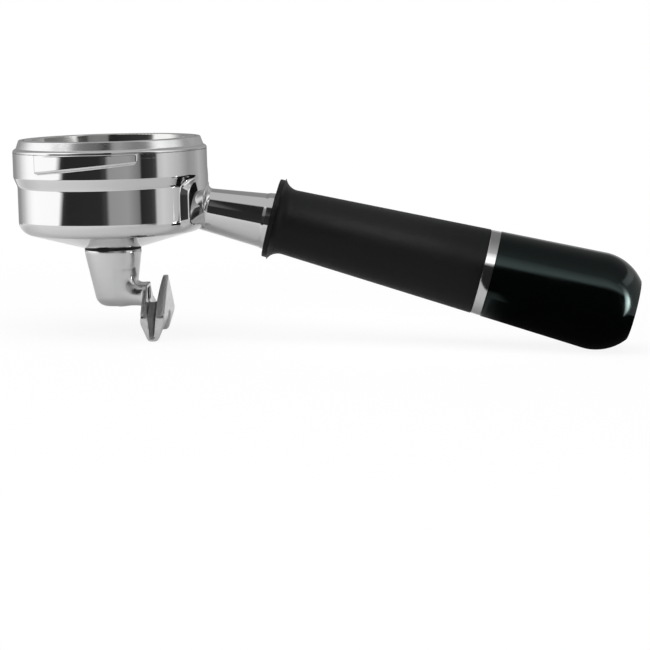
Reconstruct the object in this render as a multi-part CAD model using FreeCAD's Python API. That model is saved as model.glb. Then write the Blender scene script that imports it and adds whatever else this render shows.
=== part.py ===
import FreeCAD
import Part
import math
import os

from FreeCAD import Placement, Rotation, Vector

# Frame: millimetres, origin at the centre of the rim's top face, +Z up along
# the axis of the cup, +X towards the handle.

# Cup, outside
rim_top_radius = 34.9
rim_edge_round = 0.3
rim_base_radius = 36.0
rim_height = 3.1
ring_radius = 37.3
ring_top = -3.9
ring_bottom = -14.1
ring_edge_round = 0.5
waist_radius = 35.8
waist_top = -17.7
bottom_corner_height = -35.2
bottom_corner_round = 5.5
bottom_slope = 15.7
outlet_land_radius = 11.2

# Cup, inside
bore_radius = 30.5
seat_radius = 33.2
seat_depth = 1.3
floor_corner_height = -30.0
floor_corner_round = 4.0
outlet_hole_radius = 8.3
spring_groove_height = -8.0
spring_groove_width = 1.7
spring_groove_radius = 31.8

# Bayonet lugs, with angles counted from +X towards +Y
lug_radius = 39.7
lug_deep_angle = -130.0
lug_shallow_angle = -67.0
lug_shallow_bottom = -8.1
lug_ramp_angle = 5.0
lug_end_round = 1.6

# Handle root on the cup
pad_centre_height = -23.5
pad_foot_x = 28.0
pad_foot_half_width = 23.5
pad_foot_half_height = 14.0
pad_face_half_width = 16.0
pad_face_half_height = 9.6

# Neck, from a point on its axis just outside the cup
neck_start_x = 38.4
neck_start_z = -28.7
neck_droop = 12.25
neck_start_radius = 8.39
neck_taper = 5.85
neck_root_start = -3.0
neck_root_round = 2.4
neck_root_floor = -33.7
neck_inner_end = -16.0
neck_bead_start = 20.6
neck_bead_height = 0.5
neck_end = 34.0

# Handle, measured along its own axis from the front face of the flange
flange_x = 61.5
flange_z = -32.1
handle_droop = 15.53
flange_radius = 15.3
flange_width = 2.4
flange_edge_round = 0.4
trumpet_start = 3.6
trumpet_round = 5.5
grip_front_radius = 12.27
handle_taper = 2.95
trim_start = 83.2
trim_width = 4.0
trim_inset = 0.15
trim_edge_round = 0.3
cap_round_start = 129.0
cap_round_middle = 137.4
cap_round_middle_radius = 16.9
cap_end_radius = 11.75
handle_length = 143.8
part_line = 0.1

# Handle, inside
spigot_start = -6.0
spigot_radius = 7.0
spigot_length = 12.0
spigot_half_width = 5.6
spigot_end_gap = 0.5
bolt_radius = 3.95
tapped_hole_radius = 4.0
tapped_hole_end = -17.0
bolt_tip = -14.0
bolt_head_radius = 6.5
bolt_head_height = 8.0
bolt_head_round = 0.6
bolt_socket_width = 6.0
bolt_socket_depth = 4.0
core_radius = 10.4
core_bolt_hole_radius = 4.5
core_shoulder = 80.0
core_head_bore = 9.0
core_tail_radius = 12.0
core_end = 104.0
washer_radius = 8.5
washer_thickness = 1.6
lock_washer_radius = 7.4
lock_washer_thickness = 2.2
lock_washer_split = 1.6
washer_hole_radius = 4.3
cap_socket_end = 105.5
cap_cavity_radius = 11.5
cap_cavity_end = 136.0
cap_cavity_round = 5.0
fit_gap = 0.05

# Filter basket
basket_radius = 29.25
basket_wall = 0.8
basket_depth = 24.5
basket_flare = 0.55
basket_flare_depth = 4.0
basket_corner_round = 2.5
basket_lip_radius = 32.9
basket_lip_round = 0.4
basket_hole_radius = 0.4
basket_hole_pitch = 3.3
basket_hole_field = 25.0

# Basket retaining spring
spring_wire_radius = 0.65
spring_gap_to_basket = 0.3
spring_opening = 24.0

# Spout seal
seal_thickness = 0.6
seal_radius = 10.8
seal_hole_radius = 8.6

# Spout, drop and shank
spout_top_radius = 10.95
spout_land = 1.4
spout_left_slope = 12.1
spout_right_slope = 7.5
spout_bottom = -64.9
spout_bottom_round = 4.6
shank_radius = 8.25
shank_length = 6.3
shank_chamfer = 0.6
spout_bore_radius = 5.4
spout_bore_floor = -62.6

# Spout, arm from the drop to the trough
arm_start = 2.0
arm_half_width = 7.5
arm_top = -56.4
arm_round = 2.4
port_half_width = 5.0
port_top = -58.2

# Spout, trough with two tips
trough_half_length = 20.0
trough_left = 11.85
trough_right = 21.1
trough_left_bend = -70.0
trough_right_bend = -69.0
trough_bend_round = 4.0
trough_tip = -76.9
trough_tip_left = 14.7
trough_tip_right = 18.4
trough_tip_round = 1.8
trough_tip_length = 1.8
trough_wall = 1.6
trough_peak = -53.0
trough_peak_round = 1.5
trough_shoulder = -67.0
trough_shoulder_round = 1.5
trough_arch = -66.2
trough_arch_round = 6.0
gutter_crest = -63.8
gutter_crest_width = 2.8
gutter_crease_place = 13.0
gutter_crease = -68.9
gutter_crease_width = 3.2
gutter_end = -75.7
gutter_end_left = 15.5
gutter_end_width = 1.4

# How far cutting shapes run past the faces they cut
cut_overrun = 1.0
tolerance = 1e-4

ORIGIN = Vector(0, 0, 0)
X_AXIS = Vector(1, 0, 0)
Y_AXIS = Vector(0, 1, 0)
Z_AXIS = Vector(0, 0, 1)


def slope(degrees):
    return math.tan(math.radians(degrees))


cup_bottom = bottom_corner_height - (waist_radius - outlet_land_radius) * slope(bottom_slope)
spout_top = cup_bottom - seal_thickness
lug_span = lug_shallow_angle - lug_deep_angle
trim_end = trim_start + trim_width


def handle_radius(along):
    """Outer radius of the handle's long taper."""
    return grip_front_radius + along * slope(handle_taper)


def rounded_wire(corners):
    """Closed wire in the XZ plane from (x, z) or (x, z, round) corners."""
    points = [Vector(c[0], 0, c[1]) for c in corners]
    rounds = [c[2] if len(c) > 2 else 0 for c in corners]
    starts = []
    ends = []
    arcs = []
    for i, corner in enumerate(points):
        if rounds[i] == 0:
            starts.append(corner)
            ends.append(corner)
            arcs.append(None)
            continue
        back = (points[i - 1] - corner).normalize()
        ahead = (points[(i + 1) % len(points)] - corner).normalize()
        half = back.getAngle(ahead) / 2
        reach = rounds[i] / math.tan(half)
        inward = (back + ahead).normalize() * (rounds[i] / math.sin(half) - rounds[i])
        starts.append(corner + back * reach)
        ends.append(corner + ahead * reach)
        arcs.append(Part.Arc(starts[i], corner + inward, ends[i]).toShape())
    edges = []
    for i, end in enumerate(ends):
        if arcs[i]:
            edges.append(arcs[i])
        after = starts[(i + 1) % len(points)]
        if (after - end).Length > tolerance:
            edges.append(Part.makeLine(end, after))
    return Part.Wire(edges)


def turned(corners, axis=Z_AXIS):
    """Solid of revolution about Z or X from a profile in the XZ plane."""
    return Part.Face(rounded_wire(corners)).revolve(ORIGIN, axis, 360)


def tube(inner, outer, start, end, axis=Z_AXIS):
    """Plain ring between two radii and two places along Z or X."""
    if axis == Z_AXIS:
        return turned([(inner, start), (outer, start), (outer, end), (inner, end)])
    return turned([(start, inner), (start, outer), (end, outer), (end, inner)], axis)


def prism_along_y(corners, half_width):
    """Profile in the XZ plane, carried to both sides of it."""
    face = Part.Face(rounded_wire(corners))
    face.translate(Vector(0, -half_width, 0))
    return face.extrude(Vector(0, 2 * half_width, 0))


def prism_along_x(corners, start, end):
    """Profile of (y, z) corners, carried from one x to another."""
    face = Part.Face(rounded_wire(corners))
    face.rotate(ORIGIN, Z_AXIS, 90)
    face.translate(Vector(start, 0, 0))
    return face.extrude(Vector(end - start, 0, 0))


def block(low, high):
    size = Vector(*high) - Vector(*low)
    return Part.makeBox(size.x, size.y, size.z, Vector(*low))


def joined(base, others):
    """Fuse shapes, and refuse a result smaller than the shape it began with."""
    whole = base.fuse(others)
    if whole.Volume < base.Volume:
        raise ValueError("a shape was lost in a join")
    return whole


def on_handle(shape):
    """Move a shape from the X axis to the axis of the handle."""
    shape.Placement = Placement(Vector(flange_x, 0, flange_z), Rotation(Y_AXIS, handle_droop))
    return shape


def on_neck(shape):
    """Move a shape from the X axis to the axis of the neck."""
    shape.Placement = Placement(Vector(neck_start_x, 0, neck_start_z), Rotation(Y_AXIS, neck_droop))
    return shape


# Filter holder: cup, lugs, pad and neck in one casting

def cup_outside():
    return turned([
        (0, 0),
        (rim_top_radius, 0, rim_edge_round),
        (rim_base_radius, -rim_height),
        (ring_radius, ring_top, ring_edge_round),
        (ring_radius, ring_bottom, ring_edge_round),
        (waist_radius, waist_top),
        (waist_radius, bottom_corner_height, bottom_corner_round),
        (outlet_land_radius, cup_bottom),
        (0, cup_bottom),
    ])


def cup_inside():
    groove_top = spring_groove_height + spring_groove_width / 2
    groove_bottom = groove_top - spring_groove_width
    funnel_depth = (bore_radius - outlet_hole_radius) * slope(bottom_slope)
    return turned([
        (0, cut_overrun),
        (seat_radius, cut_overrun),
        (seat_radius, -seat_depth),
        (bore_radius, -seat_depth),
        (bore_radius, groove_top),
        (spring_groove_radius, groove_top),
        (spring_groove_radius, groove_bottom),
        (bore_radius, groove_bottom),
        (bore_radius, floor_corner_height, floor_corner_round),
        (outlet_hole_radius, floor_corner_height - funnel_depth),
        (outlet_hole_radius, cup_bottom - cut_overrun),
        (0, cup_bottom - cut_overrun),
    ])


def is_outer_upright(edge):
    first = edge.Vertexes[0].Point
    last = edge.Vertexes[-1].Point
    upright = math.hypot(last.x - first.x, last.y - first.y) < tolerance
    return upright and math.hypot(first.x, first.y) > ring_radius


def lug():
    """One bayonet ear: level with the ring's top, with a ramp underneath."""
    height = ring_top - ring_bottom
    sector = Part.makeCylinder(lug_radius, height, Vector(0, 0, ring_bottom), Z_AXIS, lug_span)
    sector = sector.cut(Part.makeCylinder(waist_radius, height, Vector(0, 0, ring_bottom)))
    sector = sector.makeFillet(lug_end_round, [e for e in sector.Edges if is_outer_upright(e)])
    sector.rotate(ORIGIN, Z_AXIS, lug_deep_angle)
    rise = lug_radius * math.sin(math.radians(lug_span / 2)) * slope(lug_ramp_angle)
    reach = 2 * lug_radius
    below = block((0, -reach, -reach), (reach, reach, 0))
    below.rotate(ORIGIN, X_AXIS, lug_ramp_angle)
    below.rotate(ORIGIN, Z_AXIS, (lug_deep_angle + lug_shallow_angle) / 2)
    below.translate(Vector(0, 0, lug_shallow_bottom - rise))
    return sector.cut(below)


def oval(x, half_width, half_height):
    """Upright ellipse across the X axis, at the height of the handle's root."""
    centre = Vector(x, 0, pad_centre_height)
    side = centre + Vector(0, half_width, 0)
    top = centre + Vector(0, 0, half_height)
    return Part.Wire([Part.Ellipse(side, top, centre).toShape()])


def handle_pad():
    """Raised oval on the cup, level with the ring, that the neck grows from."""
    foot = oval(pad_foot_x, pad_foot_half_width, pad_foot_half_height)
    face = oval(ring_radius, pad_face_half_width, pad_face_half_height)
    reach = Part.makeCylinder(ring_radius, ring_bottom - cup_bottom, Vector(0, 0, cup_bottom))
    return Part.makeLoft([foot, face], True, True).common(reach)


def neck_radius(along):
    """Outer radius of the neck's long taper."""
    return neck_start_radius + along * slope(neck_taper)


def neck():
    """Tapered arm with a bead where it meets the handle."""
    bead_foot = neck_radius(neck_bead_start)
    bead_radius = bead_foot + neck_bead_height
    return on_neck(turned([
        (neck_inner_end, 0),
        (neck_inner_end, neck_radius(neck_inner_end)),
        (neck_bead_start, bead_foot),
        (neck_bead_start + neck_bead_height, bead_radius, neck_bead_height),
        (neck_end, bead_radius),
        (neck_end, 0),
    ], X_AXIS))


def neck_root():
    """Flare of the neck at the cup, kept above the cup's underside."""
    root_radius = neck_radius(neck_root_start)
    root_end = neck_root_start + 2 * neck_root_round
    flare = on_neck(turned([
        (neck_inner_end, 0),
        (neck_inner_end, root_radius + neck_root_round),
        (neck_root_start, root_radius + neck_root_round),
        (neck_root_start, root_radius, neck_root_round),
        (root_end, neck_radius(root_end)),
        (root_end, 0),
    ], X_AXIS))
    reach = 2 * ring_radius
    return flare.common(block((0, -reach, neck_root_floor), (reach, reach, 0)))


def spigot(radius, half_width, start, end):
    """Round peg with two flats, along the handle's axis."""
    peg = Part.makeCylinder(radius, end - start, Vector(start, 0, 0), X_AXIS)
    return peg.common(block((start, -half_width, -radius), (end, half_width, radius)))


def filter_holder():
    ear = lug()
    other_ear = ear.copy()
    other_ear.rotate(ORIGIN, Z_AXIS, 180)
    reach = 2 * flange_radius
    behind_flange = on_handle(block((0, -reach, -reach), (neck_end, reach, reach)))
    body = joined(cup_outside(), [ear, other_ear, handle_pad(), neck_root(), neck().cut(behind_flange)])
    peg = on_handle(spigot(spigot_radius, spigot_half_width, spigot_start, spigot_length))
    body = joined(body, [peg])
    tapped_length = spigot_length + cut_overrun - tapped_hole_end
    tapped = Part.makeCylinder(tapped_hole_radius, tapped_length, Vector(tapped_hole_end, 0, 0), X_AXIS)
    return body.cut([cup_inside(), on_handle(tapped)]).removeSplitter()


# Filter basket and its retaining spring

def filter_basket():
    """Thin pressed basket that opens a little towards its lip."""
    outer = basket_radius + basket_wall
    bottom = -basket_depth - basket_wall
    pressed = turned([
        (0, -basket_depth),
        (basket_radius, -basket_depth, basket_corner_round),
        (basket_radius, -basket_flare_depth),
        (basket_radius + basket_flare, 0, basket_lip_round),
        (basket_lip_radius, 0, basket_lip_round),
        (basket_lip_radius, -seat_depth, basket_lip_round),
        (outer + basket_flare / 2, -seat_depth),
        (outer, -basket_flare_depth),
        (outer, bottom, basket_corner_round + basket_wall),
        (0, bottom),
    ])
    return pressed.cut(Part.makeCompound(basket_holes(bottom)))


def basket_holes(bottom):
    """Fine holes in the basket's floor, on a grid of equal triangles."""
    row_step = basket_hole_pitch * math.sqrt(3) / 2
    rows = int(basket_hole_field / row_step)
    columns = int(basket_hole_field / basket_hole_pitch) + 1
    length = basket_wall + 2 * cut_overrun
    holes = []
    for row in range(-rows, rows + 1):
        for column in range(-columns, columns + 1):
            x = (column + (row % 2) / 2) * basket_hole_pitch
            y = row * row_step
            if math.hypot(x, y) <= basket_hole_field:
                start = Vector(x, y, bottom - cut_overrun)
                holes.append(Part.makeCylinder(basket_hole_radius, length, start))
    return holes


def basket_spring():
    """Open ring of round wire in the cup's groove, with its gap at the back."""
    radius = basket_radius + basket_wall + spring_gap_to_basket + spring_wire_radius
    place = Vector(0, 0, spring_groove_height)
    ring = Part.makeTorus(radius, spring_wire_radius, place, Z_AXIS, 0, 360, 360 - spring_opening)
    ring.rotate(ORIGIN, Z_AXIS, 90 + spring_opening / 2)
    return ring


# Spout

def spout_seal():
    return tube(seal_hole_radius, seal_radius, spout_top, cup_bottom)


def spout_drop():
    """Leaning tapered body under the cup, with a flat rounded bottom."""
    depth = spout_top - spout_land - spout_bottom
    left = -spout_top_radius + depth * slope(spout_left_slope)
    right = spout_top_radius - depth * slope(spout_right_slope)
    top_circle = Part.Circle(Vector(0, 0, spout_top - spout_land), Z_AXIS, spout_top_radius)
    low_circle = Part.Circle(Vector((left + right) / 2, 0, spout_bottom), Z_AXIS, (right - left) / 2)
    wires = [Part.Wire([c.toShape()]) for c in (top_circle, low_circle)]
    drop = Part.makeLoft(wires, True, True)
    bottom_edges = [e for e in drop.Edges if abs(e.BoundBox.ZMax - spout_bottom) < tolerance]
    drop = drop.makeFillet(spout_bottom_round, bottom_edges)
    land = Part.makeCylinder(spout_top_radius, spout_land, Vector(0, 0, spout_top - spout_land))
    shank = turned([
        (0, spout_top),
        (shank_radius, spout_top),
        (shank_radius, spout_top + shank_length - shank_chamfer),
        (shank_radius - shank_chamfer, spout_top + shank_length),
        (0, spout_top + shank_length),
    ])
    return joined(drop, [land, shank])


def spout_arm():
    corners = [
        (-arm_half_width, spout_bottom, arm_round),
        (arm_half_width, spout_bottom, arm_round),
        (arm_half_width, arm_top, arm_round),
        (-arm_half_width, arm_top, arm_round),
    ]
    return prism_along_x(corners, arm_start, trough_left + trough_wall)


def trough_outside():
    """Deep gutter across the object, cut to a pointed leaf with two tips."""
    gutter = prism_along_y([
        (trough_left, trough_peak),
        (trough_left, trough_left_bend, trough_bend_round),
        (trough_tip_left, trough_tip, trough_tip_round),
        (trough_tip_right, trough_tip, trough_tip_round),
        (trough_right, trough_right_bend, trough_bend_round),
        (trough_right, trough_peak),
    ], trough_half_length)
    tip_inner = trough_half_length - trough_tip_length
    leaf = prism_along_x([
        (0, trough_peak, trough_peak_round),
        (trough_half_length, trough_shoulder, trough_shoulder_round),
        (trough_half_length, trough_tip),
        (tip_inner, trough_tip),
        (0, trough_arch, trough_arch_round),
        (-tip_inner, trough_tip),
        (-trough_half_length, trough_tip),
        (-trough_half_length, trough_shoulder, trough_shoulder_round),
    ], 0, 2 * trough_right)
    low_side = block((0, -trough_half_length, arm_top), (trough_left + trough_wall, trough_half_length, 0))
    return gutter.common(leaf).cut(low_side)


def gutter_section(y, floor, floor_left, floor_width):
    """Closed outline of the trough's hollow at one place along Y."""
    left = trough_left + trough_wall
    right = trough_right - trough_wall
    top = trough_peak + cut_overrun
    points = [(left, top), (floor_left, floor), (floor_left + floor_width, floor), (right, top)]
    corners = [Vector(x, y, z) for x, z in points]
    return Part.makePolygon(corners + corners[:1])


def gutters():
    """Two hollows that fall from a crest in the middle, over a crease, to a tip at each end."""
    left = trough_left + trough_wall
    crest = gutter_section(0, gutter_crest, left, gutter_crest_width)
    hollows = []
    for side in (-1, 1):
        crease = gutter_section(side * gutter_crease_place, gutter_crease, left, gutter_crease_width)
        tip = gutter_section(side * trough_half_length, gutter_end, gutter_end_left, gutter_end_width)
        hollows.append(Part.makeLoft([crest, crease], True, True))
        hollows.append(Part.makeLoft([crease, tip], True, True))
    return hollows


def twin_spout():
    bore_height = spout_top + shank_length - spout_bore_floor
    bore = Part.makeCylinder(spout_bore_radius, bore_height, Vector(0, 0, spout_bore_floor))
    port_end = trough_left + trough_wall + cut_overrun
    port = block((0, -port_half_width, spout_bore_floor), (port_end, port_half_width, port_top))
    solid = joined(spout_drop(), [spout_arm(), trough_outside()])
    return solid.cut([bore, port] + gutters()).removeSplitter()


# Handle

def grip_sleeve():
    """Soft sleeve with a flange in front that runs into the grip in a trumpet."""
    back = trim_start - part_line
    return on_handle(turned([
        (0, core_radius + fit_gap),
        (0, flange_radius, flange_edge_round),
        (flange_width, flange_radius, flange_edge_round),
        (trumpet_start, handle_radius(trumpet_start), trumpet_round),
        (back, handle_radius(back)),
        (back, core_radius + fit_gap),
    ], X_AXIS))


def grip_core():
    """Hard tube inside the sleeve: socket in front, bolt seat and tail behind."""
    body = turned([
        (fit_gap, core_bolt_hole_radius),
        (fit_gap, core_radius),
        (trim_start, core_radius),
        (trim_start, core_tail_radius),
        (core_end, core_tail_radius),
        (core_end, core_head_bore),
        (core_shoulder, core_head_bore),
        (core_shoulder, core_bolt_hole_radius),
    ], X_AXIS)
    socket_end = spigot_length + spigot_end_gap
    socket = spigot(spigot_radius + fit_gap, spigot_half_width + fit_gap, -cut_overrun, socket_end)
    return on_handle(body.cut(socket))


def handle_bolt():
    head_start = core_shoulder + washer_thickness + lock_washer_thickness
    head_end = head_start + bolt_head_height
    bolt = turned([
        (bolt_tip, 0),
        (bolt_tip, bolt_radius),
        (head_start, bolt_radius),
        (head_start, bolt_head_radius),
        (head_end, bolt_head_radius, bolt_head_round),
        (head_end, 0),
    ], X_AXIS)
    corner = bolt_socket_width / math.sqrt(3)
    turns = [math.radians(60 * i) for i in range(7)]
    ring = [Vector(head_end, corner * math.cos(t), corner * math.sin(t)) for t in turns]
    hexagon = Part.Face(Part.makePolygon(ring))
    return on_handle(bolt.cut(hexagon.extrude(Vector(-bolt_socket_depth, 0, 0))))


def flat_washer():
    end = core_shoulder + washer_thickness
    return on_handle(tube(washer_hole_radius, washer_radius, core_shoulder, end, X_AXIS))


def lock_washer():
    start = core_shoulder + washer_thickness
    end = start + lock_washer_thickness
    ring = tube(washer_hole_radius, lock_washer_radius, start, end, X_AXIS)
    half = lock_washer_split / 2
    return on_handle(ring.cut(block((start, -half, 0), (end, half, 2 * lock_washer_radius))))


def trim_ring():
    start_radius = handle_radius(trim_start) - trim_inset
    end_radius = handle_radius(trim_end) - trim_inset
    return on_handle(turned([
        (trim_start, core_tail_radius + fit_gap),
        (trim_start, start_radius, trim_edge_round),
        (trim_end, end_radius, trim_edge_round),
        (trim_end, core_tail_radius + fit_gap),
    ], X_AXIS))


def end_cap():
    """Cap that swells to a rounded end with a flat face, hollow inside."""
    start = trim_end + part_line
    shoulder = Vector(cap_round_start, 0, handle_radius(cap_round_start))
    middle = Vector(cap_round_middle, 0, cap_round_middle_radius)
    rim = Vector(handle_length, 0, cap_end_radius)
    centres = [Vector(handle_length, 0, 0), Vector(start, 0, 0)]
    points = centres + [Vector(start, 0, handle_radius(start)), shoulder]
    edges = [Part.makeLine(points[i], points[i + 1]) for i in range(len(points) - 1)]
    edges.append(Part.Arc(shoulder, middle, rim).toShape())
    edges.append(Part.makeLine(rim, points[0]))
    solid = Part.Face(Part.Wire(edges)).revolve(ORIGIN, X_AXIS, 360)
    hollow = turned([
        (start, 0),
        (start, core_tail_radius + fit_gap),
        (cap_socket_end, core_tail_radius + fit_gap),
        (cap_socket_end, cap_cavity_radius),
        (cap_cavity_end, cap_cavity_radius, cap_cavity_round),
        (cap_cavity_end, 0),
    ], X_AXIS)
    return on_handle(solid.cut(hollow))


PIECES = {
    "filter_holder": filter_holder,
    "filter_basket": filter_basket,
    "basket_spring": basket_spring,
    "spout_seal": spout_seal,
    "twin_spout": twin_spout,
    "grip_sleeve": grip_sleeve,
    "grip_core": grip_core,
    "handle_bolt": handle_bolt,
    "flat_washer": flat_washer,
    "lock_washer": lock_washer,
    "trim_ring": trim_ring,
    "end_cap": end_cap,
}

os.makedirs("parts", exist_ok=True)
for node, make in PIECES.items():
    shape = make()
    if not shape.isValid() or len(shape.Solids) != 1:
        raise ValueError(node + " is not one valid solid")
    shape.Solids[0].exportStep("parts/" + node + ".step")
    print(node, round(shape.Volume / 1000, 2), "cm3")
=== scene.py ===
import math

import bmesh
import bpy
from mathutils import Matrix, Vector


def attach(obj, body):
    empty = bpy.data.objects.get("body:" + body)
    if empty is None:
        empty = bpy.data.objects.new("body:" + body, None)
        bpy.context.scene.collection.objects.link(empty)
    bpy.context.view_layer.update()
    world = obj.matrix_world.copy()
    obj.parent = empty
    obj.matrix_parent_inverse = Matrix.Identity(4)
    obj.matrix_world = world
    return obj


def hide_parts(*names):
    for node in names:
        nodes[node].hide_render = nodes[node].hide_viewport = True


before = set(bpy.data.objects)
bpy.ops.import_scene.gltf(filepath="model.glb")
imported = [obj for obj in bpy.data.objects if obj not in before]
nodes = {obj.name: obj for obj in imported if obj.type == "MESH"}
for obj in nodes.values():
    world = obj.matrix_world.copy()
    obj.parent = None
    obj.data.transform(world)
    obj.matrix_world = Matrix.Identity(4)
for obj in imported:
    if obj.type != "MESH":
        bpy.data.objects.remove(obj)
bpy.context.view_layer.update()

# The object's sizes are in millimetres and degrees, and the studio's are in metres
MM = 0.001

# Cup
rim_top_radius = 34.9
rim_base_radius = 36.0
rim_height = 3.1
ring_radius = 37.3
ring_top = -3.9
ring_bottom = -14.1
waist_radius = 35.8
waist_top = -17.7
bottom_corner = -35.2
bottom_slope = 15.7
outlet_land_radius = 11.2
bore_radius = 30.5
seat_radius = 33.2
seat_depth = 1.3
floor_corner = -30.0
outlet_hole_radius = 8.3
cup_bottom = bottom_corner - (waist_radius - outlet_land_radius) * math.tan(math.radians(bottom_slope))
turned_above = -3.6

# Rounds of the cup's profile, from the outlet up and over the rim
land_round = 0.3
bottom_round = 5.5
waist_round = 4.0
ring_round = 2.0
ring_top_round = 1.0
rim_base_round = 0.4
rim_round = 0.45
seat_round = 0.25
bore_round = 0.3
floor_round = 4.0

# Lugs
lug_radius = 39.7
lug_deep = -130.0
lug_shallow = -67.0
lug_shallow_bottom = -8.1
lug_ramp = 5.0
lug_top = -4.4
lug_corner = 1.7
lug_end_round = 1.6
lug_end_foot = 0.35
lug_root_round = 0.5
lug_edge = 0.9
lug_edge_share = 0.3
lug_top_edge_share = 0.6

# Handle root and neck
pad_radius = 37.5
pad_height = -24.2
pad_half_width = 21.6
pad_half_height = 11.0
pad_edge = 3.2
pad_power_above = 3.2
pad_power_below = 6
neck_start = Vector((38.4, 0, -28.7))
neck_droop = 12.25
neck_radius = 8.39
neck_taper = 5.85
neck_length = 23.4
neck_flare = 2.4
neck_flare_start = -3.0
bead_start = 20.3
bead_start_round = 1.6
bead_top = 21.3
bead_top_round = 1.2
bead_height = 0.24
bead_end_height = 0.3

# Handle
handle_start = Vector((61.5, 0, -32.1))
handle_droop = 15.53

# Spout: how finely its edges are softened, the reach of its arm's fairing, and its gutters
spout_voxel = 0.28
spout_rounds = 10
smoothing = 0.5
fairing_start = 1.0
fairing_end = 11.4
fairing_half_width = 10
fairing_top = -50
fairing_bottoms = (-63.5, -65.0, -66.3)
fairing_rounds = 260
drop_bore_radius = 6.3
arm_bore_half_width = 5.6
arm_bore_bottom = -63
arm_bore_top = -57.8
arm_top_half_width = 3
arm_top = -57.6
gutter_start = 13.1
gutter_end = 19.9
gutter_top = -54
gutter_tilt = 0.15

# Seal
seal_inner_radius = 8.7
seal_outer_radius = 10.95
seal_gap = 0.02
seal_bottom = 0.58
seal_round = 0.12
lip_angle = 256
lip_half_width = 8
lip_half_foot = 15
lip_drop = 0.45
lip_bulge = 0.05

# Ground under the spout's tips and the handle's end
tips_x = 17.0
tips_z = -76.9
end_x = 186.0
end_z = -85.52
ground_gap = 0.05
ground_slope = (tips_z - end_z) / (end_x - tips_x)


# Mesh helpers

def rounded(corners, arc_steps):
    """Points along a chain of (r, z, round) corners, with the rounds turned into arcs."""
    points = [Vector((c[0], c[1])) for c in corners]
    rounds = [c[2] if len(c) > 2 else 0.0 for c in corners]
    out = []
    for i, p in enumerate(points):
        if rounds[i] == 0 or i in (0, len(points) - 1):
            out.append(p)
            continue
        back = (points[i - 1] - p).normalized()
        ahead = (points[i + 1] - p).normalized()
        half = math.acos(max(-1.0, min(1.0, back.dot(ahead)))) / 2
        reach = rounds[i] / math.tan(half)
        centre = p + (back + ahead).normalized() * (rounds[i] / math.sin(half))
        first = p + back * reach - centre
        last = p + ahead * reach - centre
        turn = math.pi - 2 * half
        for k in range(arc_steps + 1):
            t = k / arc_steps
            a = math.sin((1 - t) * turn) / math.sin(turn)
            b = math.sin(t * turn) / math.sin(turn)
            out.append(centre + first * a + last * b)
    return out


def supported(points, gap=0.06):
    """The same chain with a close point at each end of its long runs, so that flats stay flat."""
    out = [points[0]]
    for a, b in zip(points, points[1:]):
        run = (b - a).length
        if run > 4 * gap:
            out.append(a.lerp(b, gap / run))
            out.append(b.lerp(a, gap / run))
        out.append(b)
    return out


def smooth_step(low, high, x):
    t = max(0.0, min(1.0, (x - low) / (high - low)))
    return t * t * (3 - 2 * t)


def grid_faces(rows, columns, start=0, close_rows=False):
    """Quads of a grid whose columns run round and close."""
    faces = []
    last = rows if close_rows else rows - 1
    for i in range(last):
        a = start + i * columns
        b = start + ((i + 1) % rows) * columns
        for j in range(columns):
            k = (j + 1) % columns
            faces.append((a + j, a + k, b + k, b + j))
    return faces


def mesh_object(name, verts, faces):
    """An object from points in millimetres."""
    mesh = bpy.data.meshes.new(name)
    mesh.from_pydata([tuple(c * MM for c in v) for v in verts], [], faces)
    return bpy.data.objects.new(name, mesh)


def dress(obj, mat, body, replaced):
    """Make an object a smooth piece that rides on a body and stands for a CAD node."""
    mesh = obj.data
    bpy.context.scene.collection.objects.link(obj)
    bm = bmesh.new()
    bm.from_mesh(mesh)
    bmesh.ops.recalc_face_normals(bm, faces=bm.faces)
    bm.to_mesh(mesh)
    bm.free()
    for polygon in mesh.polygons:
        polygon.use_smooth = True
    mesh.materials.clear()
    mesh.materials.append(mat)
    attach(obj, body)
    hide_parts(replaced)
    return obj


# Shader helpers

def ranged(tree, value, start, end, low, high):
    """A socket's value carried from one range to another."""
    made = tree.nodes.new("ShaderNodeMapRange")
    made.inputs["From Min"].default_value = start
    made.inputs["From Max"].default_value = end
    made.inputs["To Min"].default_value = low
    made.inputs["To Max"].default_value = high
    tree.links.new(value, made.inputs["Value"])
    return made.outputs["Result"]


def combined(tree, operation, a, b):
    """The result of a sum on two sockets."""
    made = tree.nodes.new("ShaderNodeMath")
    made.operation = operation
    tree.links.new(a, made.inputs[0])
    tree.links.new(b, made.inputs[1])
    return made.outputs[0]


def noise(tree, scale, detail, stretch=(1, 1, 1)):
    """Noise in the object's own space, in patches per metre, drawn out along an axis by stretch."""
    place = tree.nodes.new("ShaderNodeTexCoord")
    mapping = tree.nodes.new("ShaderNodeMapping")
    mapping.inputs["Scale"].default_value = stretch
    texture = tree.nodes.new("ShaderNodeTexNoise")
    texture.inputs["Scale"].default_value = scale
    texture.inputs["Detail"].default_value = detail
    tree.links.new(place.outputs["Object"], mapping.inputs["Vector"])
    tree.links.new(mapping.outputs["Vector"], texture.inputs["Vector"])
    return texture.outputs["Fac"]


# Materials

NOISE_LOW = 0.3
NOISE_HIGH = 0.7


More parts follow.
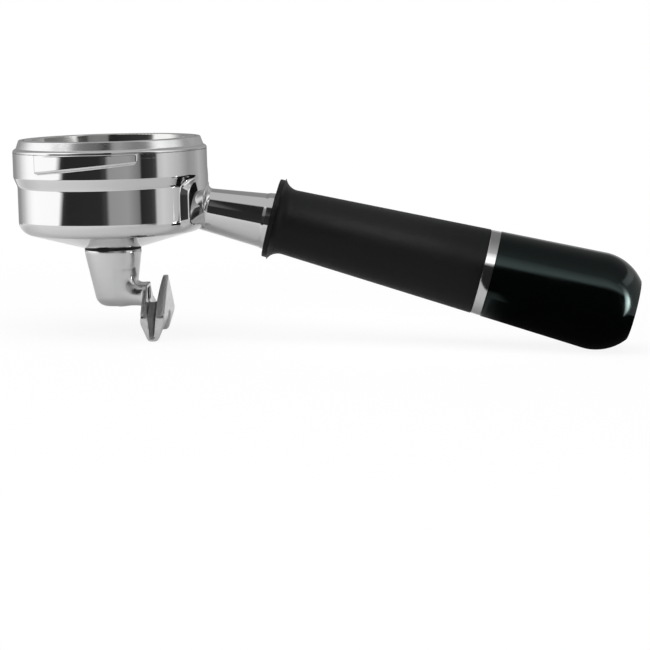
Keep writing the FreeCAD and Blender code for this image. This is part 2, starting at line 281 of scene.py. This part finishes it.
def surface(name, roughness, grain, relief, bumps, **values):
    """A material with uneven gloss and a fine relief.

    The grain of the gloss is a noise's scale, detail and stretch, and the bumps are a noise's
    scale and detail. The relief is their height in metres.
    """
    mat = bpy.data.materials.new(name)
    mat.use_nodes = True
    tree = mat.node_tree
    shader = tree.nodes["Principled BSDF"]
    for key, value in values.items():
        shader.inputs[key.replace("_", " ")].default_value = value
    gloss = ranged(tree, noise(tree, *grain), NOISE_LOW, NOISE_HIGH, *roughness)
    tree.links.new(gloss, shader.inputs["Roughness"])
    if relief:
        bump = tree.nodes.new("ShaderNodeBump")
        bump.inputs["Distance"].default_value = relief
        tree.links.new(noise(tree, *bumps), bump.inputs["Height"])
        tree.links.new(bump.outputs["Normal"], shader.inputs["Normal"])
    return mat


def chrome(name, roughness, colour=(0.63, 0.63, 0.635, 1), waviness=0.0, streak=(1, 1, 1)):
    """Plated or bare metal, a little uneven in its gloss, with a wavy face or streaks along an axis."""
    smoothest = 0.7
    roughest = 1.35
    return surface(name, roughness=(roughness * smoothest, roughness * roughest), grain=(420, 4, streak),
                   relief=waviness, bumps=(160, 2), Base_Color=colour, Metallic=1.0)


polished = chrome("polished_chrome", 0.055, waviness=0.000004)
turned = chrome("turned_chrome", 0.2, streak=(1, 1, 14))
cast = chrome("cast_chrome", 0.19, waviness=0.000012)
trim = chrome("trim_chrome", 0.1, streak=(10, 1, 1))
steel = chrome("pressed_steel", 0.09, colour=(0.6, 0.6, 0.59, 1), streak=(1, 1, 8))
rough_cast = surface("rough_cast", roughness=(0.35, 0.6), grain=(900, 6), relief=0.00025, bumps=(1500, 6),
                     Base_Color=(0.42, 0.42, 0.42, 1), Metallic=1.0)
grip_black = surface("grip_black", roughness=(0.38, 0.5), grain=(900, 5), relief=0.00004, bumps=(5200, 3),
                     Base_Color=(0.0045, 0.0048, 0.005, 1), Specular_IOR_Level=0.16)
cap_black = surface("cap_black", roughness=(0.1, 0.17), grain=(260, 4), relief=0.000012, bumps=(90, 2),
                    Base_Color=(0.0005, 0.0007, 0.0007, 1), Specular_IOR_Level=0.32,
                    Specular_Tint=(0.72, 1.0, 0.95, 1))
seal_black = surface("seal_black", roughness=(0.55, 0.8), grain=(1800, 4), relief=0.00003, bumps=(3000, 3),
                     Base_Color=(0.008, 0.008, 0.008, 1), Specular_IOR_Level=0.3)


# Cup: one fine skin turned about Z, with the lugs and the handle's pad raised from it

def lug_half_span():
    return math.radians(lug_shallow - lug_deep) / 2


def lug_ramp_height(angle):
    """Height of the lug's underside at an angle counted from the lug's middle, in radians."""
    span = lug_half_span()
    rise = lug_radius * math.tan(math.radians(lug_ramp))
    height = lug_shallow_bottom - rise * (math.sin(span) - math.sin(max(-span, min(span, angle))))
    inside = max(0.0, (span - angle) * lug_radius)
    if inside < lug_corner:
        height += lug_corner - math.sqrt(lug_corner ** 2 - (lug_corner - inside) ** 2)
    return height


def lug_reach(angle):
    """How far the lug stands out at an angle from its middle, from 0 to 1."""
    inside = (lug_half_span() - abs(angle)) * lug_radius
    full = lug_radius - ring_radius
    if inside >= lug_end_round:
        return 1.0
    if inside >= 0:
        drop = math.sqrt(lug_end_round ** 2 - (lug_end_round - inside) ** 2)
        return (full - lug_end_round + drop) / full
    return (full - lug_end_round) / full * smooth_step(-lug_end_foot, 0.0, inside)


def nearest_lug(angle):
    """An angle counted from the middle of the nearer lug, in radians."""
    middle = math.radians(lug_deep + lug_shallow) / 2
    best = math.inf
    for m in (middle, middle + math.pi):
        d = (angle - m + math.pi) % (2 * math.pi) - math.pi
        if abs(d) < abs(best):
            best = d
    return best


def pad_raise(angle, r, z):
    """How far the handle's pad lifts the wall at a place, in millimetres.

    The pad is a rounded oblong on the unrolled wall, squarer below its middle, with a sloping edge.
    """
    least_share = 0.2
    least_steepness = 0.02
    u = abs(angle) * waist_radius / pad_half_width
    v = abs(z - pad_height) / pad_half_height
    power = pad_power_above if z > pad_height else pad_power_below
    share = max(least_share, (u ** power + v ** power) ** (1 / power))
    steepness = math.hypot((u / share) ** (power - 1) / pad_half_width,
                           (v / share) ** (power - 1) / pad_half_height)
    off = (share - 1) / max(steepness, least_steepness)
    ramp = max(0.0, min(1.0, 0.5 - off / pad_edge))
    return max(0.0, min(pad_radius - waist_radius, pad_radius - r)) * ramp


def cup_angles():
    """Angles of the skin's columns, evenly round and closer at the lugs' ends."""
    even = 640
    close = 12
    close_step = 0.16
    least_turn = 0.0008
    angles = [2 * math.pi * j / even - math.pi for j in range(even)]
    for end in (lug_deep, lug_shallow, lug_deep + 180, lug_shallow + 180):
        middle = math.radians(end)
        for k in range(-close, close + 1):
            angles.append((middle + k * close_step / lug_radius + math.pi) % (2 * math.pi) - math.pi)
    angles.sort()
    kept = [angles[0]]
    for a in angles[1:]:
        if a - kept[-1] > least_turn:
            kept.append(a)
    return kept


# A run past the end of a chain, which gives its last round a direction and is then left out
RUN_ON = 1.0


def cup_outside():
    """Points from the outlet up to the ring, close together where the pad rises from them."""
    step = 0.45
    plain_below = -38
    chain = rounded([(outlet_hole_radius, cup_bottom), (outlet_land_radius, cup_bottom, land_round),
                     (waist_radius, bottom_corner, bottom_round), (waist_radius, waist_top, waist_round),
                     (ring_radius, ring_bottom, ring_round), (ring_radius, ring_bottom + RUN_ON)],
                    arc_steps=10)
    chain = supported(chain)[:-2]
    dense = []
    for a, b in zip(chain, chain[1:]):
        count = max(1, int((b - a).length / step)) if b.y > plain_below else 1
        dense += [a.lerp(b, k / count) for k in range(count)]
    return dense + [chain[-1]]


def cup_inside():
    """Points from the ring's top over the rim and down the bore and funnel to the outlet."""
    funnel = (bore_radius - outlet_hole_radius) * math.tan(math.radians(bottom_slope))
    chain = rounded([(ring_radius, ring_top - RUN_ON), (ring_radius, ring_top, ring_top_round),
                     (rim_base_radius, -rim_height, rim_base_round), (rim_top_radius, 0, rim_round),
                     (seat_radius, 0, seat_round), (seat_radius, -seat_depth),
                     (bore_radius, -seat_depth, bore_round), (bore_radius, floor_corner, floor_round),
                     (outlet_hole_radius, floor_corner - funnel), (outlet_hole_radius, cup_bottom)],
                    arc_steps=6)
    return supported(chain)[1:-1]


def lug_chain(angle, low, high):
    """Points up the ring at an angle, between two heights, with the lug raised where it stands."""
    pad_rows = 6
    pad_row_step = 0.2
    off = nearest_lug(angle)
    ramp = lug_ramp_height(off)
    reach = lug_reach(off)
    edge = min(lug_edge, lug_edge_share * (lug_top - ramp))
    chain = rounded([(ring_radius, low), (ring_radius, ramp, lug_root_round), (lug_radius, ramp, edge),
                     (lug_radius, lug_top, lug_top_edge_share * edge), (ring_radius, high)], arc_steps=7)
    chain = supported(chain)
    chain[2:2] = [Vector((ring_radius, low + pad_row_step * k)) for k in range(1, pad_rows + 1)]
    return [(ring_radius + (p.x - ring_radius) * reach, p.y) for p in chain[1:-1]]


def cup_skin():
    outside = [tuple(p) for p in cup_outside()]
    inside = [tuple(p) for p in cup_inside()]
    angles = cup_angles()
    columns = []
    for a in angles:
        wall = outside + lug_chain(a, outside[-1][1], inside[0][1])
        columns.append([(r + pad_raise(a, r, z), z) for r, z in wall] + inside)
    rows = len(columns[0])
    verts = []
    for i in range(rows):
        for a, column in zip(angles, columns):
            r, z = column[i]
            verts.append((r * math.cos(a), r * math.sin(a), z))
    return verts, grid_faces(rows, len(angles), close_rows=True)


def neck_radius_at(s):
    return neck_radius + s * math.tan(math.radians(neck_taper))


def neck_skin(start):
    """Tapered neck with a flare at the cup, which dies out underneath, and a bead at the handle."""
    root_start = -4.5
    root_step = 0.15
    root_rows = 60
    plain_from = 5.0
    flare_none = -0.75
    flare_full = -0.2
    columns = 160
    end = rounded([(plain_from, neck_radius_at(plain_from)),
                   (bead_start, neck_radius_at(bead_start), bead_start_round),
                   (bead_top, neck_radius_at(bead_top) + bead_height, bead_top_round),
                   (neck_length, neck_radius_at(neck_length) + bead_end_height)], arc_steps=8)
    root = [root_start + root_step * k for k in range(root_rows)]
    stations = [(s, neck_radius_at(s)) for s in root] + [tuple(p) for p in supported(end, gap=0.1)]
    turn = Matrix.Rotation(math.radians(neck_droop), 4, "Y")
    verts = []
    for s, r in stations:
        u = min(neck_flare, max(0.0, s - neck_flare_start))
        flare = neck_flare - math.sqrt(neck_flare ** 2 - (neck_flare - u) ** 2)
        for j in range(columns):
            a = 2 * math.pi * j / columns
            full = r + flare * smooth_step(flare_none, flare_full, math.sin(a))
            verts.append(neck_start + turn @ Vector((s, full * math.cos(a), full * math.sin(a))))
    return verts, grid_faces(len(stations), columns, start)


cup_verts, cup_faces = cup_skin()
neck_verts, neck_faces = neck_skin(len(cup_verts))
cup = mesh_object("cup_and_neck", cup_verts + neck_verts, cup_faces + neck_faces)
dress(cup, polished, "holder", "filter_holder")

# The rim's cone and top are turned, not buffed
cup.data.materials.append(turned)
for polygon in cup.data.polygons:
    if polygon.center.z > turned_above * MM:
        polygon.material_index = 1


# Spout: the casting's edges softened all over, and its arm run into the drop

def softened(name, node, voxel, rounds):
    """A copy of a CAD node's mesh, made even and then smoothed."""
    obj = bpy.data.objects.new(name, nodes[node].data.copy())
    bpy.context.scene.collection.objects.link(obj)
    remesh = obj.modifiers.new("even", "REMESH")
    remesh.mode = "VOXEL"
    remesh.voxel_size = voxel
    relax = obj.modifiers.new("soften", "SMOOTH")
    relax.factor = smoothing
    relax.iterations = rounds
    depsgraph = bpy.context.evaluated_depsgraph_get()
    even = bpy.data.meshes.new_from_object(obj.evaluated_get(depsgraph))
    bpy.data.objects.remove(obj)
    even.name = name
    return even


def at_arm(p, bottom):
    """Whether a place in millimetres is on the fairing between drop and arm, above a height."""
    in_reach = fairing_start < p.x < fairing_end and abs(p.y) < fairing_half_width
    in_height = bottom < p.z < fairing_top
    on_top = abs(p.y) < arm_top_half_width and p.z > arm_top
    in_drop_bore = math.hypot(p.x, p.y) < drop_bore_radius
    in_arm_bore = abs(p.y) < arm_bore_half_width and arm_bore_bottom < p.z < arm_bore_top
    return in_reach and in_height and not (on_top or in_drop_bore or in_arm_bore)


def run_arm_in(mesh, bottom):
    """Smooth the fairing down to a height."""
    bm = bmesh.new()
    bm.from_mesh(mesh)
    chosen = [v for v in bm.verts if at_arm(v.co / MM, bottom)]
    for _ in range(fairing_rounds):
        bmesh.ops.smooth_vert(bm, verts=chosen, factor=smoothing,
                              use_axis_x=True, use_axis_y=True, use_axis_z=True)
    bm.to_mesh(mesh)
    bm.free()


casting = softened("spout_casting", "twin_spout", spout_voxel * MM, spout_rounds)
for bottom in fairing_bottoms:
    run_arm_in(casting, bottom)
spout = bpy.data.objects.new("spout_casting", casting)
dress(spout, cast, "spout", "twin_spout")

# The gutters are left as they were cast
spout.data.materials.append(rough_cast)
for polygon in spout.data.polygons:
    at = polygon.center / MM
    if gutter_start < at.x < gutter_end and at.z < gutter_top and polygon.normal.z > gutter_tilt:
        polygon.material_index = 1


# Seal, squeezed out in one place

def seal_skin():
    top = cup_bottom - seal_gap
    bottom = cup_bottom - seal_bottom
    profile = rounded([(seal_inner_radius, top), (seal_outer_radius, top, seal_round),
                       (seal_outer_radius, bottom, seal_round), (seal_inner_radius, bottom)], arc_steps=5)
    columns = 180
    verts = []
    for p in profile:
        outer = p.x > (seal_inner_radius + seal_outer_radius) / 2
        lower = p.y < (top + bottom) / 2
        for j in range(columns):
            a = 2 * math.pi * j / columns
            off = (math.degrees(a) - lip_angle + 180) % 360 - 180
            lip = 1 - smooth_step(lip_half_width, lip_half_foot, abs(off))
            r = p.x + (lip_bulge * lip if outer else 0)
            z = p.y - (lip_drop * lip if outer and lower else 0)
            verts.append((r * math.cos(a), r * math.sin(a), z))
    return verts, grid_faces(len(profile), columns, close_rows=True)


seal = mesh_object("seal_ring", *seal_skin())
dress(seal, seal_black, "seal", "spout_seal")


# CAD pieces that keep their own shape

for name, mat in (("filter_basket", steel), ("basket_spring", steel), ("handle_bolt", steel),
                  ("flat_washer", steel), ("lock_washer", steel), ("trim_ring", trim),
                  ("grip_sleeve", grip_black), ("grip_core", grip_black), ("end_cap", cap_black)):
    nodes[name].data.materials.clear()
    nodes[name].data.materials.append(mat)


# Ground: matte with the object's shadow, and white to the eye and in reflections further off

ground_middle = (0.08, 0, -0.08)


def ground_material(left, right, near, far):
    """Ground whose colour holds a painted shade for reflections, going from left to right, and that turns
    white from near to far.
    """
    mat = bpy.data.materials.new("ground")
    mat.use_nodes = True
    tree = mat.node_tree
    tree.nodes.clear()
    link = tree.links.new
    path = tree.nodes.new("ShaderNodeLightPath").outputs
    place = tree.nodes.new("ShaderNodeNewGeometry").outputs["Position"]
    split = tree.nodes.new("ShaderNodeSeparateXYZ")
    link(place, split.inputs[0])
    across = ranged(tree, split.outputs["X"], start=-0.1, end=0.1, low=left, high=right)

    # Painted shade for reflections: at the back on the far left the ground's colour is darker
    back = ranged(tree, split.outputs["Y"], start=-0.02, end=0.06, low=0.0, high=0.5)
    side = ranged(tree, split.outputs["X"], start=-0.07, end=-0.03, low=1.0, high=0.0)
    rest = ranged(tree, combined(tree, "MULTIPLY", back, side), start=0.0, end=1.0, low=1.0, high=0.0)
    painted_mirror_shade = combined(tree, "MULTIPLY", across, rest)
    matte = tree.nodes.new("ShaderNodeBsdfDiffuse")
    link(combined(tree, "MAXIMUM", painted_mirror_shade, path["Is Camera Ray"]), matte.inputs["Color"])

    # The white's share grows with the distance from the ground's middle, under the object
    reach = tree.nodes.new("ShaderNodeVectorMath")
    reach.operation = "DISTANCE"
    reach.inputs[1].default_value = ground_middle
    link(place, reach.inputs[0])
    fade = ranged(tree, reach.outputs["Value"], start=near, end=far, low=0.9, high=1.0)
    mirror_fade = ranged(tree, reach.outputs["Value"], start=near, end=far, low=0.2, high=0.9)
    seen = combined(tree, "MULTIPLY", path["Is Camera Ray"], fade)
    mirrored = combined(tree, "MAXIMUM", path["Is Glossy Ray"], path["Is Transmission Ray"])
    mirrored = combined(tree, "MULTIPLY", mirrored, mirror_fade)
    mix = tree.nodes.new("ShaderNodeMixShader")
    white = tree.nodes.new("ShaderNodeEmission")
    out = tree.nodes.new("ShaderNodeOutputMaterial")
    link(combined(tree, "MAXIMUM", seen, mirrored), mix.inputs["Fac"])
    link(matte.outputs[0], mix.inputs[1])
    link(white.outputs[0], mix.inputs[2])
    link(mix.outputs[0], out.inputs["Surface"])
    return mat


bpy.ops.mesh.primitive_grid_add(x_subdivisions=8, y_subdivisions=8, size=8)
ground = bpy.context.object
ground.name = "ground"
ground.rotation_euler = (0, math.atan(ground_slope), 0)
ground.location = (tips_x * MM, 0, (tips_z - ground_gap) * MM)
# The ground's colour is a painted shade, paler on the left than on the right
ground.data.materials.append(ground_material(left=0.95, right=0.6, near=0.12, far=0.34))


# Studio: a ring and flat cards that shape the reflections

# Brightness of the ring by angle from the front: below, at and above eye level, and at the ceiling
LOW = ((-180, 0.3), (-150, 0.33), (-137, 0.39), (-122, 0.74), (-111, 1.18), (-102, 1.45), (-95, 1.52),
       (-57, 1.5), (-51.5, 0.05), (-46, 0.03), (-5, 0.035), (1.5, 0.08), (5.3, 0.42), (26, 0.46),
       (33, 0.36), (39.3, 0.27), (41.6, 0.03), (54, 0.05), (58.8, 0.09), (61.8, 0.78), (70, 0.9),
       (80, 0.8), (89, 0.7), (98, 0.55), (106, 0.43), (119, 0.49), (129, 0.62), (141, 0.5), (158, 0.33),
       (180, 0.3))
MID = ((-180, 0.3), (-137, 0.39), (-122, 0.7), (-111, 1.2), (-102, 1.5), (-70, 1.52), (-64, 0.2),
       (-56, 0.06), (0, 0.03), (8, 0.03), (10, 0.3), (29, 0.32), (40, 0.28), (44, 0.1), (58, 0.1),
       (64, 1.4), (80, 1.6), (94, 1.5), (104, 0.8), (112, 0.45), (119, 0.49), (130, 0.6), (145, 0.48),
       (180, 0.3))
HIGH = ((-180, 0.3), (-135, 0.45), (-122, 0.6), (-112, 1.35), (-104, 1.52), (-50, 1.52), (-45, 1.0),
        (-38, 0.37), (-30, 0.27), (-10, 0.22), (-2, 0.14), (0, 0.025), (8, 0.025), (10, 0.5), (20, 0.5),
        (29, 0.38), (39, 0.3), (55, 0.3), (59, 0.48), (65, 1.3), (70, 1.5), (78, 1.45), (84, 1.1),
        (90, 0.75), (97, 0.56), (104, 0.46), (111, 0.42), (121, 0.5), (131, 0.58), (145, 0.48), (180, 0.3))
CEILING = ((-180, 0.7), (180, 0.7))

ring_reach = 0.3
crown_reach = 0.01
eye_level = -0.012
low_heights = (-0.085, -0.06, -0.04, -0.025, -0.0121)
mid_heights = (-0.0119, 0.115)
high_heights = (0.15, 0.52)
ceiling_height = 0.64
crown_height = 0.66
ring_columns = 720

# The white card on the left leans about a height, and its lean dies out round its edge
lean_edge = -51.5
lean_spread = 40
lean_height = -0.0455
lean_per_millimetre = 0.27


def shade_at(table, angle):
    for (a, low), (b, high) in zip(table, table[1:]):
        if angle <= b:
            return low + (high - low) * (angle - a) / (b - a)
    return table[-1][1]


def lean(angle, z):
    """How far the ring's shades are turned at an angle and a height, in degrees."""
    if z > eye_level:
        return 0.0
    share = max(0.0, 1 - abs(angle - lean_edge) / lean_spread)
    return share * (z - lean_height) / MM * lean_per_millimetre


def card(name, verts, faces, shades):
    """A glowing studio card that only reflections see."""
    mesh = bpy.data.meshes.new(name)
    mesh.from_pydata(verts, [], faces)
    layer = mesh.attributes.new("shade", "FLOAT", "POINT")
    layer.data.foreach_set("value", shades)
    mat = bpy.data.materials.new(name)
    mat.use_nodes = True
    tree = mat.node_tree
    tree.nodes.clear()
    value = tree.nodes.new("ShaderNodeAttribute")
    value.attribute_name = "shade"
    glow = tree.nodes.new("ShaderNodeEmission")
    out = tree.nodes.new("ShaderNodeOutputMaterial")
    tree.links.new(value.outputs["Fac"], glow.inputs["Strength"])
    tree.links.new(glow.outputs[0], out.inputs["Surface"])
    mesh.materials.append(mat)
    obj = bpy.data.objects.new(name, mesh)
    bpy.context.scene.collection.objects.link(obj)
    obj.visible_camera = False
    obj.visible_diffuse = False
    obj.visible_shadow = False


def studio_ring():
    """A round wall with a ceiling."""
    rows = [(ring_reach, z, LOW) for z in low_heights]
    rows += [(ring_reach, z, MID) for z in mid_heights]
    rows += [(ring_reach, z, HIGH) for z in high_heights]
    rows += [(ring_reach, ceiling_height, CEILING), (crown_reach, crown_height, CEILING)]
    verts = []
    shades = []
    for radius, z, table in rows:
        for j in range(ring_columns):
            a = 360 * j / ring_columns - 180
            turn = math.radians(a + lean(a, z))
            verts.append((radius * math.sin(turn), -radius * math.cos(turn), z))
            shades.append(shade_at(table, a))
    card("studio_ring", verts, grid_faces(len(rows), ring_columns), shades)


def flat_card(name, corner, along, across, shade_of):
    """A flat card with its shade given by two shares along its sides."""
    count = 24
    verts = []
    shades = []
    for i in range(count + 1):
        for j in range(count + 1):
            verts.append(Vector(corner) + Vector(along) * (i / count) + Vector(across) * (j / count))
            shades.append(shade_of(i / count, j / count))
    faces = []
    for i in range(count):
        for j in range(count):
            k = i * (count + 1) + j
            faces.append((k, k + 1, k + count + 2, k + count + 1))
    card(name, verts, faces, shades)


# Cards for the end cap: black under it as a painted shadow, black with a light over it in front, dim above,
# a glow beyond

BLACK = 0.02
screen_x = 0.14
screen_length = 0.082
screen_drop = 0.027
screen_height = 0.057
front_y = -0.026


def handle_axis_z(x):
    return handle_start.z * MM - (x - handle_start.x * MM) * math.tan(math.radians(handle_droop))


def under_cap(u, v):
    """Black, a painted shadow of the ground under the cap for its reflection, with a faint light at the
    trim ring's end.
    """
    ring_light = 0.2
    ring_share = 0.06
    return BLACK + ring_light * (1 - smooth_step(0, ring_share, u))


def handle_screen(u, v):
    """Black up to over the handle's axis, higher to the right, with a soft light above and a lit corner."""
    edge_left = 0.666
    edge_rise = 0.133
    edge_blur = 0.03
    corner_light = 0.6
    top_light = 2.0
    top_fade = 1.1
    edge = edge_left + edge_rise * u
    corner = corner_light * (1 - smooth_step(0.03, 0.09, u)) * (1 - smooth_step(0.18, 0.24, v))
    top = top_light * smooth_step(edge - edge_blur, edge + edge_blur, v)
    return BLACK + corner + top - top_fade * smooth_step(edge, 1.0, v)


def canopy(u, v):
    """Pale in front and dim over the handle and behind it."""
    front_light = 0.85
    fall = 0.6
    return front_light - fall * smooth_step(0, 0.5, v)


def cap_glow(u, v):
    """A round glow, as of a lamp behind cloth."""
    cloth_light = 0.4
    lamp_light = 35
    middle = (0.27, 0.34)
    blur = (0.25, 0.18)
    off = ((u - middle[0]) / blur[0]) ** 2 + ((v - middle[1]) / blur[1]) ** 2
    return cloth_light + lamp_light * math.exp(-off)


studio_ring()
# The black card under the cap is a painted shadow, seen only in reflections
flat_card("under_cap", corner=(0.139, -0.027, -0.0828), along=(0.096, 0, -0.0049), across=(0, 0.06, 0),
          shade_of=under_cap)
flat_card("handle_screen", corner=(screen_x, front_y, handle_axis_z(screen_x) - screen_drop),
          along=(screen_length, 0, -screen_length * math.tan(math.radians(handle_droop))),
          across=(0, 0, screen_height), shade_of=handle_screen)
flat_card("canopy", corner=(0.15, -0.13, 0.035), along=(0.17, 0, -0.02), across=(0, 0.3, 0),
          shade_of=canopy)
flat_card("cap_glow", corner=(0.222, front_y, -0.1), along=(0.11, 0, 0), across=(0, 0, 0.09),
          shade_of=cap_glow)


# World: white to the eye and in reflections, and a low even light otherwise

def studio_world(light):
    world = bpy.data.worlds.new("studio")
    world.use_nodes = True
    tree = world.node_tree
    path = tree.nodes.new("ShaderNodeLightPath").outputs
    seen = combined(tree, "MAXIMUM", path["Is Camera Ray"], path["Is Glossy Ray"])
    seen = combined(tree, "MAXIMUM", seen, path["Is Transmission Ray"])
    back = tree.nodes["Background"]
    back.inputs["Color"].default_value = (1, 1, 1, 1)
    level = ranged(tree, seen, start=0.0, end=1.0, low=light, high=1.0)
    tree.links.new(level, back.inputs["Strength"])
    return world


bpy.context.scene.world = studio_world(light=0.22)


# Lamps

def softbox(name, place, size, power, target=(0.08, 0, -0.03)):
    """An area lamp aimed at a place, which reflections don't see."""
    lamp = bpy.data.lights.new(name, "AREA")
    lamp.shape = "RECTANGLE"
    lamp.size = size[0]
    lamp.size_y = size[1]
    lamp.energy = power
    obj = bpy.data.objects.new(name, lamp)
    obj.location = place
    obj.rotation_mode = "QUATERNION"
    obj.rotation_quaternion = (Vector(target) - Vector(place)).to_track_quat("-Z", "Y")
    obj.visible_camera = False
    obj.visible_glossy = False
    bpy.context.scene.collection.objects.link(obj)
    return obj


softbox("overhead", place=(0.05, -0.25, 1.1), size=(1.4, 1.0), power=12)
softbox("front_left", place=(-0.9, -0.9, 0.7), size=(0.8, 0.8), power=4)

# A small lamp behind a honeycomb, aimed at the grip and seen in its sheen
grip_lamp = softbox("grip_lamp", place=(0.14, -0.106, 0.063), size=(0.09, 0.13), power=0.012,
                    target=(0.108, 0, -0.043))
grip_lamp.visible_glossy = True
grip_lamp.data.spread = math.radians(30)


# Camera, fitted to the photograph

camera_place = (0.12799, -1.0, 0.047224)
yaw = -0.046695
pitch = -0.120641
roll = -0.024314
focal_pixels = 2608.2
image_pixels = 650
sensor_width = 36

forward = Vector((math.sin(yaw) * math.cos(pitch), math.cos(yaw) * math.cos(pitch), math.sin(pitch)))
level_right = Vector((math.cos(yaw), -math.sin(yaw), 0))
level_up = level_right.cross(forward)
right = level_right * math.cos(roll) + level_up * math.sin(roll)
up = level_up * math.cos(roll) - level_right * math.sin(roll)
lens = bpy.data.cameras.new("camera")
lens.sensor_width = sensor_width
lens.lens = focal_pixels / image_pixels * sensor_width
lens.clip_start = 0.01
camera = bpy.data.objects.new("camera", lens)
camera.matrix_world = Matrix((
    (right.x, up.x, -forward.x, camera_place[0]),
    (right.y, up.y, -forward.y, camera_place[1]),
    (right.z, up.z, -forward.z, camera_place[2]),
    (0, 0, 0, 1),
))
bpy.context.scene.collection.objects.link(camera)
bpy.context.scene.camera = camera

bpy.context.scene.view_settings.view_transform = "Standard"
